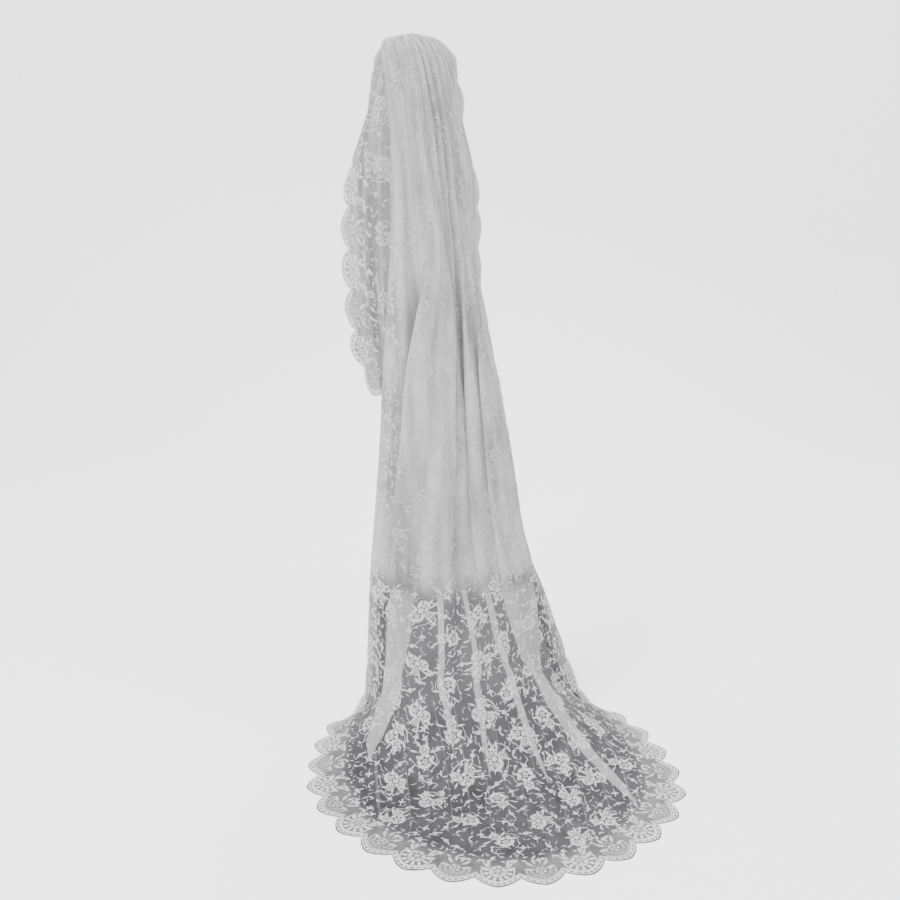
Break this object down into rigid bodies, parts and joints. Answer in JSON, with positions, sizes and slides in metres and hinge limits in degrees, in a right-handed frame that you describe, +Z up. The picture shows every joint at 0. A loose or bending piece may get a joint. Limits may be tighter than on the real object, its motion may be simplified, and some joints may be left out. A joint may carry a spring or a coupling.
{
  "type": "bridal veil",
  "caption": "Two-tier lace bridal veil with a scalloped border, worn: it falls from a comb at the crown, in folds, into a rounded train on the floor.",
  "frame": {"origin": "middle of the comb's top at the crown of the head, where the gathered tops of both tiers meet", "axes": "+Z up, -Y behind the wearer, along the train, +X to the wearer's right; the floor is 1.7 m below the origin"},
  "size_m": [0.899, 0.853, 1.7149],
  "materials": {
    "long_tier": "sheer lace net",
    "long_tier_border": "corded lace border",
    "short_tier": "sheer lace net",
    "short_tier_border": "corded lace border",
    "binding_ribbon": "satin ribbon",
    "comb": "polished wire"
  },
  "bodies": {
    "root": {"long_tier": "long_tier", "long_tier_border": "long_tier_border", "short_tier": "short_tier", "short_tier_border": "short_tier_border", "binding_ribbon": "binding_ribbon", "comb": "comb"}
  },
  "joints": []
}
